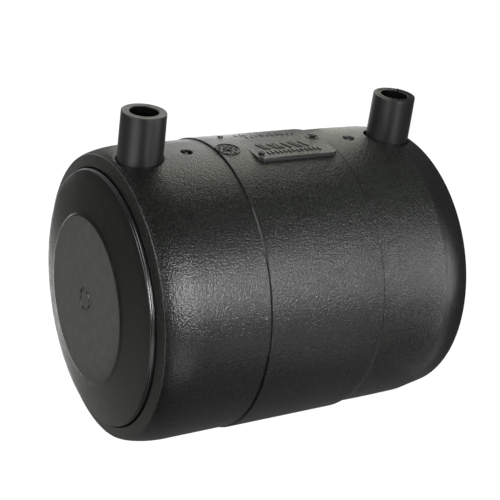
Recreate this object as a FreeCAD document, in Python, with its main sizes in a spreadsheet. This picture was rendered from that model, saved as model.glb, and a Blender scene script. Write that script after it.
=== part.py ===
"""Electrofusion pipe end cap: a black polyethylene coupler closed by a moulded end plug.

The cap stands on its open mouth. Z runs along the pipe from the mouth's rim plane at z = 0 to the
closed end, and the two terminal shrouds point along +X. Lengths are in millimetres.
"""
import FreeCAD, Part
import os
import Sketcher

SIZES = [
    ("socket_radius", 38.0, "bore that takes the pipe, for a 75 mm pipe with 0.5 mm all round"),
    ("wall", 9.5, "moulded wall at the middle zone"),
    ("body_length", 109.6, "coupler body from rim to rim"),
    ("mouth_step", 0.75, "how far the mouth zone lies under the middle zone"),
    ("plug_step", 0.45, "how far the plug zone lies under the middle zone"),
    ("mouth_seam", 34.4, "height of the mould seam near the mouth"),
    ("plug_zone_length", 34.9, "mould seam near the plug to the body's rim"),
    ("mouth_taper_length", 9.5, "taper at the mouth, along the pipe"),
    ("mouth_taper_drop", 1.5, "taper at the mouth, across the pipe"),
    ("shoulder_length", 12.5, "crowned shoulder at the plug end, along the pipe"),
    ("shoulder_drop", 2.2, "crowned shoulder at the plug end, across the pipe"),
    ("lead_in_width", 3.2, "bevel that guides the pipe into the bore, across the pipe"),
    ("lead_in_depth", 3.5, "bevel that guides the pipe into the bore, along the pipe"),
    ("stop_height", 2.5, "centre stop ring, how far it stands into the bore"),
    ("stop_width", 3.0, "centre stop ring, along the pipe"),
    ("melt_fill", 0.5, "gap that the fused joint has closed on the plug's side"),
    ("wire_width", 1.2, "resistance wire, along the pipe"),
    ("wire_height", 0.8, "resistance wire, across the pipe"),
    ("wire_pitch", 9.3, "one turn of the winding to the next"),
    ("wire_turns", 3.0, "whole turns of the winding in the socket"),
    ("recess_depth", 0.95, "winding recess under the bore's surface"),
    ("wire_seat_gap", 0.05, "wire to the floor of its recess"),
    ("wire_side_gap", 0.3, "wire to the ends and sides of its recess"),
    ("terminal_inset", 8.8, "mouth's terminal from the mouth's rim"),
    ("plug_terminal_inset", 9.65, "plug's terminal from the body's other rim"),
    ("shroud_height", 13.8, "shroud rim over the middle zone"),
    ("shroud_radius", 7.05, "shroud outside, halfway up its slight draft"),
    ("shroud_foot", 5.0, "shroud's seat in the wall under the middle zone"),
    ("shroud_fit", 0.05, "play between the shroud's foot and its pocket"),
    ("shroud_bore_radius", 4.45, "shroud inside"),
    ("shroud_depth", 13.3, "shroud rim down to its floor"),
    ("pin_radius", 2.0, "contact pin, 4.0 mm standard terminal"),
    ("pin_setback", 3.2, "shroud rim down to the pin's tip"),
    ("pin_shank_radius", 1.5, "shank through the shroud's floor and the wall"),
    ("pin_fit", 0.05, "play between the shank and its holes"),
    ("well_inset", 15.6, "fusion indicator beside each terminal, towards the middle"),
    ("well_radius", 2.0, "indicator well"),
    ("well_pin_radius", 0.95, "indicator pin moulded in the well"),
    ("well_depth", 2.6, "indicator well under the middle zone"),
    ("well_pin_drop", 0.5, "indicator pin's top under the middle zone"),
    ("pad_rise", 0.05, "flat label pad over the middle zone's crown, which it almost touches"),
    ("pad_mouth_gap", 0.7, "label pad to the mould seam near the mouth"),
    ("pad_plug_gap", 10.3, "label pad to the mould seam near the plug"),
    ("pad_near_edge", 10.8, "label pad to the -Y side"),
    ("pad_far_edge", 4.3, "label pad to the +Y side"),
    ("pad_corner", 1.5, "cut corners of the label pad"),
    ("pad_root", 3.0, "label pad's root in the wall under the middle zone"),
    ("boss_radius", 0.95, "round insert bosses on the label pad"),
    ("boss_rise", 0.7, "insert bosses over the pad"),
    ("near_boss_side", 3.6, "boss near the plug, in from the pad's -Y edge"),
    ("near_boss_end", 2.5, "boss near the plug, in from the pad's end"),
    ("far_boss_side", 1.9, "boss near the mouth, in from the pad's +Y edge"),
    ("far_boss_end", 2.0, "boss near the mouth, in from the pad's end"),
    ("plug_side_gap", 0.6, "open gap between the plug's flange and the lead-in bevel"),
    ("plug_proud", 1.5, "plug's rim over the body's rim"),
    ("plug_disc_radius", 26.7, "flat disc in the middle of the plug's face"),
    ("plug_disc_rise", 3.4, "that disc over the plug's rim"),
    ("plug_fit", 0.05, "plug's spigot to the fused bore"),
    ("plug_wall", 7.4, "wall of the plug's spigot"),
    ("plug_closure", 12.0, "thickness of the plug's closed end"),
    ("gate_radius", 3.9, "gate mark in the middle of the plug's face"),
    ("gate_depth", 0.3, "depth of the gate mark"),
    ("gate_land_radius", 3.1, "gate mark's middle land"),
]

REACH = 2.0                      # how far a cut passes the surface that it opens
SHOULDER_BREAK = 0.6             # where the crowned shoulder changes slope, along its length

doc = FreeCAD.newDocument("pipe_end_cap")
sheet = doc.addObject("Spreadsheet::Sheet", "Sizes")
for row, (alias, value, note) in enumerate(SIZES, start=1):
    sheet.set(f"A{row}", alias)
    sheet.set(f"B{row}", str(value))
    sheet.set(f"C{row}", note)
    sheet.setAlias(f"B{row}", alias)
doc.recompute()


class SheetNames:
    """Writes a cell's name the way an expression needs it, so that S.wall reads as Sizes.wall."""

    def __getattr__(self, alias):
        return f"Sizes.{alias}"


S = SheetNames()

# lengths worked out from the sheet, each written once as an expression
OUTER = f"({S.socket_radius} + {S.wall})"
MOUTH_ZONE = f"({OUTER} - {S.mouth_step})"
PLUG_ZONE = f"({OUTER} - {S.plug_step})"
LEAD_IN = f"({S.socket_radius} + {S.lead_in_width})"
RECESS = f"({S.socket_radius} + {S.recess_depth})"
FUSED_BORE = f"({S.socket_radius} - {S.melt_fill})"
BEVEL_SLOPE = f"({S.lead_in_depth} / ({LEAD_IN} - {FUSED_BORE}))"
STOP_LOW = f"({S.body_length} / 2 - {S.stop_width} / 2)"
STOP_HIGH = f"({S.body_length} / 2 + {S.stop_width} / 2)"
PLUG_SEAM = f"({S.body_length} - {S.plug_zone_length})"
FAR_TERMINAL = f"({S.body_length} - {S.plug_terminal_inset})"
TERMINAL_SPACING = f"({FAR_TERMINAL} - {S.terminal_inset})"
WINDING_END = f"({S.terminal_inset} + {S.wire_turns} * {S.wire_pitch})"
WIRE_MARGIN = f"({S.wire_width} / 2 + {S.wire_side_gap})"
RECESS_START = f"({S.terminal_inset} - {WIRE_MARGIN})"
RECESS_END = f"({WINDING_END} + {WIRE_MARGIN})"
WIRE_OUT = f"({RECESS} - {S.wire_seat_gap})"
WIRE_IN = f"({WIRE_OUT} - {S.wire_height})"
SHROUD_RIM = f"({OUTER} + {S.shroud_height})"
SHROUD_FLOOR = f"({SHROUD_RIM} - {S.shroud_depth})"
SHROUD_SEAT = f"({OUTER} - {S.shroud_foot})"
SHANK_HOLE = f"({S.pin_shank_radius} + {S.pin_fit})"
PAD_START = f"({S.mouth_seam} + {S.pad_mouth_gap})"
PAD_END = f"({PLUG_SEAM} - {S.pad_plug_gap})"
FLANGE = f"({LEAD_IN} - {S.plug_side_gap})"
SPIGOT = f"({FUSED_BORE} - {S.plug_fit})"
PLUG_RIM = f"({S.body_length} + {S.plug_proud})"
PLUG_FACE = f"({PLUG_RIM} + {S.plug_disc_rise})"


def number(expression):
    """Value of an expression on the sheet, in millimetres."""
    return float(sheet.evalExpression(str(expression)))


def origin_feature(body, role):
    """Plane or axis of a body's own origin, such as XZ_Plane or Z_Axis."""
    return next(f for f in body.Origin.OriginFeatures if f.Role == role)


def new_body(label):
    body = doc.addObject("PartDesign::Body", label)
    body.Label = label
    return body


def new_sketch(body, name, plane, offset=None):
    """Sketch on one of the body's origin planes. The offset maps x, y or z to an expression."""
    sketch = body.newObject("Sketcher::SketchObject", name)
    sketch.AttachmentSupport = [(origin_feature(body, plane), "")]
    sketch.MapMode = "FlatFace"
    for axis, expression in (offset or {}).items():
        sketch.setExpression(f".AttachmentOffset.Base.{axis}", expression)
    doc.recompute()
    return sketch


def place_vertex(sketch, geometry, end, x_expression, y_expression):
    """Hold one end of an edge, or a circle's centre, at a place that the sheet gives."""
    for kind, expression, axis in (("DistanceX", x_expression, -2), ("DistanceY", y_expression, -1)):
        distance = number(expression)
        if abs(distance) < 1e-9:
            sketch.addConstraint(Sketcher.Constraint("PointOnObject", geometry, end, axis))
            continue
        pair = (-1, 1, geometry, end) if distance > 0 else (geometry, end, -1, 1)
        index = sketch.addConstraint(Sketcher.Constraint(kind, *pair, abs(distance)))
        sign = "" if distance > 0 else "-"
        sketch.setExpression(f"Constraints[{index}]", f"{sign}({expression})")


def outline(sketch, corners):
    """Closed outline of straight edges through corners, each given as two expressions."""
    points = [FreeCAD.Vector(number(x), number(y), 0) for x, y in corners]
    count = len(corners)
    for i in range(count):
        sketch.addGeometry(Part.LineSegment(points[i], points[(i + 1) % count]), False)
    for i in range(count):
        sketch.addConstraint(Sketcher.Constraint("Coincident", i, 2, (i + 1) % count, 1))
    for i, (x_expression, y_expression) in enumerate(corners):
        place_vertex(sketch, i, 1, x_expression, y_expression)
    doc.recompute()


def circle(sketch, x_expression, y_expression, radius_expression):
    """Full circle whose centre and radius come from the sheet."""
    centre = FreeCAD.Vector(number(x_expression), number(y_expression), 0)
    ring = Part.Circle(centre, FreeCAD.Vector(0, 0, 1), number(radius_expression))
    edge = sketch.addGeometry(ring, False)
    place_vertex(sketch, edge, 3, x_expression, y_expression)
    index = sketch.addConstraint(Sketcher.Constraint("Radius", edge, number(radius_expression)))
    sketch.setExpression(f"Constraints[{index}]", radius_expression)
    doc.recompute()


def turned(body, kind, name, sketch, axis):
    """Revolution or Groove of a sketch through a full turn about one of its axes."""
    feature = body.newObject(f"PartDesign::{kind}", name)
    feature.Profile = sketch
    feature.ReferenceAxis = (sketch, [axis])
    feature.Angle = 360
    sketch.Visibility = False
    doc.recompute()
    return feature


def extruded(body, kind, name, sketch, length, both_sides=False):
    """Pad or Pocket of a sketch by a length from the sheet."""
    feature = body.newObject(f"PartDesign::{kind}", name)
    feature.Profile = sketch
    feature.setExpression("Length", length)
    feature.Midplane = both_sides
    sketch.Visibility = False
    doc.recompute()
    return feature


def repeated(body, name, original, distance):
    """The same cut once more, further along the pipe."""
    pattern = body.newObject("PartDesign::LinearPattern", name)
    pattern.Originals = [original]
    pattern.Direction = (origin_feature(body, "Z_Axis"), [""])
    pattern.setExpression("Length", distance)
    pattern.Occurrences = 2
    body.Tip = pattern
    doc.recompute()
    return pattern


def build_coupler_body():
    """Moulded body: stepped outside, socket bore, stop ring, shroud pockets, wells and label pad."""
    body = new_body("coupler_body")

    section = new_sketch(body, "body_section", "XZ_Plane")
    mouth_rim = f"({MOUTH_ZONE} - {S.mouth_taper_drop})"
    plug_rim = f"({PLUG_ZONE} - {S.shoulder_drop})"
    shoulder = f"({S.body_length} - {S.shoulder_length})"
    stop = f"({S.socket_radius} - {S.stop_height})"
    crown = f"{PLUG_ZONE} - {S.shoulder_drop} * {SHOULDER_BREAK * SHOULDER_BREAK}"
    outline(section, [
        (LEAD_IN, "0"),
        (mouth_rim, "0"),
        (MOUTH_ZONE, S.mouth_taper_length),
        (MOUTH_ZONE, S.mouth_seam),
        (OUTER, S.mouth_seam),
        (OUTER, PLUG_SEAM),
        (PLUG_ZONE, PLUG_SEAM),
        (PLUG_ZONE, shoulder),
        (crown, f"{shoulder} + {S.shoulder_length} * {SHOULDER_BREAK}"),
        (plug_rim, S.body_length),
        (LEAD_IN, S.body_length),
        (FUSED_BORE, f"{S.body_length} - {S.lead_in_depth}"),
        (FUSED_BORE, STOP_HIGH),
        (stop, STOP_HIGH),
        (stop, STOP_LOW),
        (S.socket_radius, STOP_LOW),
        (S.socket_radius, S.lead_in_depth),
    ])
    turned(body, "Revolution", "body_form", section, "V_Axis")

    pocket = new_sketch(body, "shroud_pocket_section", "XZ_Plane", {"y": S.terminal_inset})
    pocket_radius = f"({S.shroud_radius} + {S.shroud_fit})"
    outline(pocket, [
        (f"{S.socket_radius} - {REACH}", "0"),
        (f"{OUTER} + {REACH}", "0"),
        (f"{OUTER} + {REACH}", pocket_radius),
        (SHROUD_SEAT, pocket_radius),
        (SHROUD_SEAT, SHANK_HOLE),
        (f"{S.socket_radius} - {REACH}", SHANK_HOLE),
    ])
    shroud_pocket = turned(body, "Groove", "shroud_pocket", pocket, "H_Axis")
    repeated(body, "both_shroud_pockets", shroud_pocket, TERMINAL_SPACING)

    well = new_sketch(body, "well_section", "XZ_Plane", {"y": f"{S.terminal_inset} + {S.well_inset}"})
    outline(well, [
        (f"{OUTER} - {S.well_depth}", S.well_pin_radius),
        (f"{OUTER} - {S.well_pin_drop}", S.well_pin_radius),
        (f"{OUTER} - {S.well_pin_drop}", "0"),
        (f"{OUTER} + {REACH}", "0"),
        (f"{OUTER} + {REACH}", S.well_radius),
        (f"{OUTER} - {S.well_depth}", S.well_radius),
    ])
    indicator_well = turned(body, "Groove", "indicator_well", well, "H_Axis")
    repeated(body, "both_wells", indicator_well, f"{TERMINAL_SPACING} - 2 * {S.well_inset}")

    pad_base = {"z": f"{OUTER} - {S.pad_root}"}
    pad = new_sketch(body, "label_pad_outline", "YZ_Plane", pad_base)
    low, high = PAD_START, PAD_END
    near, far = f"(0 - {S.pad_near_edge})", S.pad_far_edge
    outline(pad, [
        (f"{near} + {S.pad_corner}", low),
        (f"{far} - {S.pad_corner}", low),
        (far, f"{low} + {S.pad_corner}"),
        (far, f"{high} - {S.pad_corner}"),
        (f"{far} - {S.pad_corner}", high),
        (f"{near} + {S.pad_corner}", high),
        (near, f"{high} - {S.pad_corner}"),
        (near, f"{low} + {S.pad_corner}"),
    ])
    extruded(body, "Pad", "label_pad", pad, f"{S.pad_root} + {S.pad_rise}")

    bosses = new_sketch(body, "boss_outline", "YZ_Plane", pad_base)
    circle(bosses, f"{near} + {S.near_boss_side}", f"{high} - {S.near_boss_end}", S.boss_radius)
    circle(bosses, f"{far} - {S.far_boss_side}", f"{low} + {S.far_boss_end}", S.boss_radius)
    extruded(body, "Pad", "insert_bosses", bosses, f"{S.pad_root} + {S.pad_rise} + {S.boss_rise}")

    recess = new_sketch(body, "winding_recess_section", "XZ_Plane")
    inside = f"({S.socket_radius} - {REACH})"
    outline(recess, [
        (inside, RECESS_START),
        (RECESS, RECESS_START),
        (RECESS, RECESS_END),
        (inside, RECESS_END),
    ])
    turned(body, "Groove", "winding_recess", recess, "V_Axis")

    slot = new_sketch(body, "lead_slot_outline", "XZ_Plane")
    inside = f"({S.socket_radius} - {S.stop_height} - {REACH})"
    low, high = f"({RECESS_END} - {REACH})", f"({FAR_TERMINAL} + {WIRE_MARGIN})"
    outline(slot, [(inside, low), (RECESS, low), (RECESS, high), (inside, high)])
    extruded(body, "Pocket", "lead_slot", slot, f"{S.wire_width} + 2 * {S.wire_side_gap}", both_sides=True)
    return body


def build_end_plug():
    """Moulded plug: conical face with a raised disc, flange on the bevel and a hollow spigot."""
    body = new_body("end_plug")
    section = new_sketch(body, "plug_section", "XZ_Plane")
    hollow = f"({SPIGOT} - {S.plug_wall})"
    ceiling = f"({PLUG_FACE} - {S.plug_closure})"
    outline(section, [
        ("0", PLUG_FACE),
        (S.plug_disc_radius, PLUG_FACE),
        (FLANGE, PLUG_RIM),
        (FLANGE, f"{S.body_length} - {S.plug_side_gap} * {BEVEL_SLOPE}"),
        (SPIGOT, f"{S.body_length} - ({LEAD_IN} - {SPIGOT}) * {BEVEL_SLOPE}"),
        (SPIGOT, STOP_HIGH),
        (hollow, STOP_HIGH),
        (hollow, ceiling),
        ("0", ceiling),
    ])
    turned(body, "Revolution", "plug_form", section, "V_Axis")

    gate = new_sketch(body, "gate_mark_section", "XZ_Plane")
    outline(gate, [
        (S.gate_land_radius, f"{PLUG_FACE} - {S.gate_depth}"),
        (S.gate_radius, f"{PLUG_FACE} - {S.gate_depth}"),
        (S.gate_radius, f"{PLUG_FACE} + {REACH}"),
        (S.gate_land_radius, f"{PLUG_FACE} + {REACH}"),
    ])
    turned(body, "Groove", "gate_mark", gate, "V_Axis")
    return body


def build_heating_wire():
    """Resistance wire: a winding from the mouth's terminal, then a straight lead to the other one."""
    body = new_body("heating_wire")
    lead = new_sketch(body, "lead_outline", "XZ_Plane")
    half = f"({S.wire_width} / 2)"
    low, high = f"({WINDING_END} - {half})", f"({FAR_TERMINAL} + {half})"
    outline(lead, [(WIRE_IN, low), (WIRE_OUT, low), (WIRE_OUT, high), (WIRE_IN, high)])
    extruded(body, "Pad", "lead", lead, S.wire_width, both_sides=True)

    section = new_sketch(body, "wire_section", "XZ_Plane")
    low, high = f"({S.terminal_inset} - {half})", f"({S.terminal_inset} + {half})"
    outline(section, [(WIRE_IN, low), (WIRE_OUT, low), (WIRE_OUT, high), (WIRE_IN, high)])
    winding = body.newObject("PartDesign::AdditiveHelix", "winding")
    winding.Profile = section
    winding.ReferenceAxis = (section, ["V_Axis"])
    winding.Mode = "pitch-turns-angle"
    winding.setExpression("Pitch", S.wire_pitch)
    winding.setExpression("Turns", S.wire_turns)
    section.Visibility = False
    doc.recompute()
    return body


def build_terminal_shroud(label, height):
    """Smooth moulded sleeve round a contact pin, seated in a pocket of the coupler's wall."""
    body = new_body(label)
    section = new_sketch(body, f"{label}_section", "XZ_Plane", {"y": height})
    outline(section, [
        (SHROUD_SEAT, SHANK_HOLE),
        (SHROUD_FLOOR, SHANK_HOLE),
        (SHROUD_FLOOR, S.shroud_bore_radius),
        (SHROUD_RIM, S.shroud_bore_radius),
        (SHROUD_RIM, S.shroud_radius),
        (SHROUD_SEAT, S.shroud_radius),
    ])
    turned(body, "Revolution", f"{label}_form", section, "H_Axis")
    return body


def build_terminal_pin(label, height):
    """Turned contact pin that stands on the shroud's floor, with a thinner shank down to the wire."""
    body = new_body(label)
    section = new_sketch(body, f"{label}_section", "XZ_Plane", {"y": height})
    tip = f"({SHROUD_RIM} - {S.pin_setback})"
    outline(section, [
        (WIRE_OUT, "0"),
        (tip, "0"),
        (tip, S.pin_radius),
        (SHROUD_FLOOR, S.pin_radius),
        (SHROUD_FLOOR, S.pin_shank_radius),
        (WIRE_OUT, S.pin_shank_radius),
    ])
    turned(body, "Revolution", f"{label}_form", section, "H_Axis")
    return body


sub_parts = [
    build_coupler_body(),
    build_end_plug(),
    build_heating_wire(),
    build_terminal_shroud("terminal_shroud_mouth", S.terminal_inset),
    build_terminal_shroud("terminal_shroud_plug", FAR_TERMINAL),
    build_terminal_pin("terminal_pin_mouth", S.terminal_inset),
    build_terminal_pin("terminal_pin_plug", FAR_TERMINAL),
]

doc.recompute()
for item in doc.Objects:
    if "Invalid" in item.State or "Error" in item.State:
        raise RuntimeError(f"{item.Label} did not build: {item.State}")
for item in sub_parts:
    if item.Shape.isNull() or not item.Shape.isValid() or len(item.Shape.Solids) != 1:
        raise RuntimeError(f"{item.Label} is not one valid solid")

os.makedirs("parts", exist_ok=True)
for item in sub_parts:
    item.Shape.exportStep(f"parts/{item.Label}.step")
    box = item.Shape.optimalBoundingBox(True, False)
    print(f"{item.Label}: {item.Shape.Volume / 1000:.2f} cm3, "
          f"x {box.XMin:.2f} to {box.XMax:.2f}, y {box.YMin:.2f} to {box.YMax:.2f}, "
          f"z {box.ZMin:.2f} to {box.ZMax:.2f}")
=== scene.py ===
"""Looks of the electrofusion pipe end cap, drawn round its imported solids.

The cap stands on its open mouth: z runs along the pipe from the mouth's rim to the closed end and the two
terminals point along +x. Shapes are worked out in millimetres and turned into metres in one place.
Round the pipe, an angle of 0 degrees is the crown with the terminals. Lamps and camera are in metres.
"""

import math

import bpy
import numpy as np
from mathutils import Matrix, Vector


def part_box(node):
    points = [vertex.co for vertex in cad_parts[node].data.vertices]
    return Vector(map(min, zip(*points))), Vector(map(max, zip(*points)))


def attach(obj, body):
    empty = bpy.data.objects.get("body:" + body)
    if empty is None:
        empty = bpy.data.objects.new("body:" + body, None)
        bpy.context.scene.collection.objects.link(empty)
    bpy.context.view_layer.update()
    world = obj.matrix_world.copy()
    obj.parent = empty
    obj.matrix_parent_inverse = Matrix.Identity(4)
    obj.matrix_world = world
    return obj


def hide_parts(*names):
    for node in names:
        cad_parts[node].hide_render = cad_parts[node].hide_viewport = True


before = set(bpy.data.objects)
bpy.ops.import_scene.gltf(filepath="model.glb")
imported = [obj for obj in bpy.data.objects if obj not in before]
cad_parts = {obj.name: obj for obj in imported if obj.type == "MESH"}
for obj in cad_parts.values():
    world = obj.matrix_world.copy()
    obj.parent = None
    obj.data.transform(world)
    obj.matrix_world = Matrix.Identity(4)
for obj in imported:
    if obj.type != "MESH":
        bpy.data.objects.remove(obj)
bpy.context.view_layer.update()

MM = 0.001
SHARP_EDGE = math.radians(34)


def packed_box(node):
    """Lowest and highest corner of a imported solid, in millimetres."""
    return [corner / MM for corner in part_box(node)]


BODY_BOX, PLUG_BOX, WIRE_BOX = packed_box("coupler_body"), packed_box("end_plug"), packed_box("heating_wire")
MOUTH_SHROUD, PLUG_SHROUD = "terminal_shroud_mouth", "terminal_shroud_plug"
MOUTH_PIN, PLUG_PIN = "terminal_pin_mouth", "terminal_pin_plug"
SHROUDS = {node: packed_box(node) for node in (MOUTH_SHROUD, PLUG_SHROUD)}
PINS = {node: packed_box(node) for node in (MOUTH_PIN, PLUG_PIN)}

# sizes in millimetres
MIDDLE = -BODY_BOX[0].y          # outside radius of the middle zone
LENGTH = BODY_BOX[1].z
MOUTH_SEAM, PLUG_SEAM = 34.4, LENGTH - 34.9
MOUTH_STEP, MOUTH_OVAL, MOUTH_CROWN = 0.6, 0.3, 0.12
PLUG_STEP, PLUG_DRAFT, DRAFT_REACH = 0.45, 0.03, 35
TAPER_LENGTH, TAPER_DROP = 9.5, 1.5
SHOULDER_LENGTH, SHOULDER_DROP = 12.5, 2.2
MOUTH_ROUND, PLUG_ROUND = 0.45, 0.35
RIM_FALL, RIM_FALL_REACH = 0.75, 4  # the end face slopes outwards by this much, over this height
MOUTH_GROOVE_DEPTH = 0.3
# groove at the plug's seam: the least, what is added at the crown, and what is added below the parting lines
SEAM_WIDTH, SEAM_DEPTH = (0.2, 0.25, 0.55), (0.22, 0.18, 0.2)
SEAM_LIP = 0.1                   # ridge along the part of the plug's seam that has no groove
SOCKET, FUSED_BORE, STOP_RING = 38.0, 37.5, 35.5
LEAD_IN, LEAD_DEPTH = 41.2, 3.5
RECESS_LOW, RECESS_HIGH, RECESS_DEPTH = 7.9, 37.6, 0.95
STOP_LOW, STOP_HIGH = LENGTH / 2 - 1.5, LENGTH / 2 + 1.5

TERMINAL_Z = [(low.z + high.z) / 2 for low, high in SHROUDS.values()]
WELL_OFFSET = 15.6               # from a terminal's axis to the indicator well beside it
WELL_Z = [TERMINAL_Z[0] + WELL_OFFSET, TERMINAL_Z[1] - WELL_OFFSET]
WELL_RADIUS, WELL_PIN, WELL_PIN_TOP = 1.95, 0.7, MIDDLE - 0.9
HOLE_FLOOR = MIDDLE - 2.6        # how far the wells and the gaps round the shrouds' feet go down
FOOT_GAP, SIDE_GAPS = 0.14, (0.55, 0.2)  # round a shroud's foot, and how much more of it along the pipe
SHROUD_DEPTH, SHROUD_BORE = 13.3, 4.4
BORE_LIMIT = SHROUD_BORE + 0.1   # faces nearer to the shroud's axis belong to its bore
WIRE_RADIUS, WIRE_TURNS, WINDING_LENGTH = 0.4, 9, 27.9
FLASH_HEIGHT, FLASH_HALF, FLASH_ROOT = 0.13, 0.16, -0.3

PLUG_RIM = LENGTH + 1.5
PLUG_PLAY, PLUG_HOLLOW, PLUG_WALL, DISC = 0.05, 30.05, 12, 26.4
PAD_TOP, PAD_ROOT = MIDDLE - 0.04, MIDDLE - 4.04
PAD_LOW, PAD_HIGH = MOUTH_SEAM + 0.7, PLUG_SEAM - 10.3
PAD_NEAR, PAD_FAR, PAD_CORNER = -10.8, 4.3, 1.5
BOSS_BY_PLUG = (PAD_NEAR + 3.4, PAD_HIGH - 2.5)
BOSS_BY_MOUTH = (PAD_FAR - 1.9, PAD_LOW + 2.0)
RELIEF_ROOT = -0.35              # raised marks start this far under the surface

COLUMNS = 512                    # grid lines round the body's skin
ROW_STEP = 0.55                  # grid lines along the body, by the wells and the terminals
TERMINAL_CELLS, WELL_CELLS = 15, 5  # from a hole's middle to the edge of its square in that grid
FLOOR_HALF = 2000.0              # the studio floor, from its middle to an edge


def solid_piece(name, points, quads, triangles=None):
    """Mesh object from points in millimetres and rows of corner numbers, with soft edges shaded smooth."""
    triangles = np.zeros((0, 3), int) if triangles is None else triangles
    used, corners = np.unique(np.concatenate([quads.ravel(), triangles.ravel()]), return_inverse=True)
    starts = np.concatenate([4 * np.arange(len(quads)), 4 * len(quads) + 3 * np.arange(len(triangles))])
    mesh = bpy.data.meshes.new(name)
    mesh.vertices.add(len(used))
    mesh.vertices.foreach_set("co", (points[used] * MM).astype(np.float32).ravel())
    mesh.loops.add(len(corners))
    mesh.loops.foreach_set("vertex_index", corners.astype(np.int32).ravel())
    mesh.polygons.add(len(starts))
    mesh.polygons.foreach_set("loop_start", starts.astype(np.int32))
    mesh.update(calc_edges=True)
    mesh.validate()
    mesh.shade_smooth()
    mesh.set_sharp_from_angle(angle=SHARP_EDGE)
    piece = bpy.data.objects.new(name, mesh)
    bpy.context.scene.collection.objects.link(piece)
    return piece


def softened(corners, steps=4, closed=True):
    """Outline through corners given as rows of (across, along, round). Each corner becomes a parabola
    between two points on its sides: (1-s)^2 a + 2 s (1-s) corner + s^2 b, for s from 0 to 1."""
    corners = np.asarray(corners, float)
    place, size = corners[:, :2], corners[:, 2:3]
    before, after = np.roll(place, 1, 0) - place, np.roll(place, -1, 0) - place
    reach = [np.linalg.norm(side, axis=1, keepdims=True) for side in (before, after)]
    if not closed:
        size[[0, -1]] = 0
    start = place + before / reach[0] * np.minimum(size, 0.48 * reach[0])
    end = place + after / reach[1] * np.minimum(size, 0.48 * reach[1])
    s = np.linspace(0, 1, steps + 1)[None, :, None]
    line = (1 - s) ** 2 * start[:, None] + 2 * s * (1 - s) * place[:, None] + s ** 2 * end[:, None]
    line = line.reshape(-1, 2)
    return line[np.r_[True, np.linalg.norm(np.diff(line, axis=0), axis=1) > 1e-6]]


def spaced(line, step, closed=True):
    """The same line with points added, so that no run of it is longer than step."""
    ends = np.roll(line, -1, 0) if closed else np.vstack([line[1:], line[-1:]])
    count = np.maximum(np.ceil(np.linalg.norm(ends - line, axis=1) / step - 1e-6), 1).astype(int)
    run = np.repeat(np.arange(len(line)), count)
    share = (np.arange(count.sum()) - np.repeat(np.cumsum(count) - count, count)) / count[run]
    return line[run] + share[:, None] * (ends - line)[run]


def ring_faces(rings, around, closed=False):
    """Four-cornered faces between neighbouring rings of points, each ring numbered on from the last."""
    i = np.arange(rings if closed else rings - 1)[:, None]
    j = np.arange(around)[None, :]
    here, on = (i % rings) * around, ((i + 1) % rings) * around
    return np.stack([here + j, here + (j + 1) % around, on + (j + 1) % around, on + j], -1).reshape(-1, 4)


def fan(ring, pole, outward=True):
    """Three-cornered faces from a ring of points to one point in its middle."""
    after = np.roll(ring, -1)
    pair = (ring, after) if outward else (after, ring)
    return np.stack([*pair, np.full(len(ring), pole)], -1)


def capped_piece(name, grid, ends):
    """Closed piece from rings of points. The first and the last ring are drawn together in one point each."""
    count, around = grid.shape[:2]
    total = count * around
    rows = np.arange(total).reshape(count, around)
    triangles = np.vstack([fan(rows[0], total, outward=False), fan(rows[-1], total + 1)])
    return solid_piece(name, np.vstack([grid.reshape(-1, 3), ends]), ring_faces(count, around), triangles)


def turned_piece(name, line, count, axis="z", height=0.0):
    """Turned solid: rings (r cos t, r sin t) round the axis, for each (r, along) of a line that runs from a
    point on the axis, round the outside, to the axis again.
    Round the x axis the form stands at that height, so its points are (along, r cos t, height + r sin t)."""
    t = np.linspace(0, 2 * np.pi, count, endpoint=False)[None, :]
    r, along = line[1:-1, :1], line[1:-1, 1:] + 0 * t
    tips = line[[0, -1], 1]
    if axis == "z":
        grid = np.stack([r * np.cos(t), r * np.sin(t), along], -1)
        return capped_piece(name, grid, [[0, 0, tip] for tip in tips])
    grid = np.stack([along, r * np.cos(t), height + r * np.sin(t)], -1)
    return capped_piece(name, grid, [[tip, 0, height] for tip in tips])


def ramp(value, low, high):
    """Soft step from 0 at low to 1 at high: 3 s^2 - 2 s^3."""
    s = np.clip((value - low) / (high - low), 0, 1)
    return s * s * (3 - 2 * s)


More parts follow.
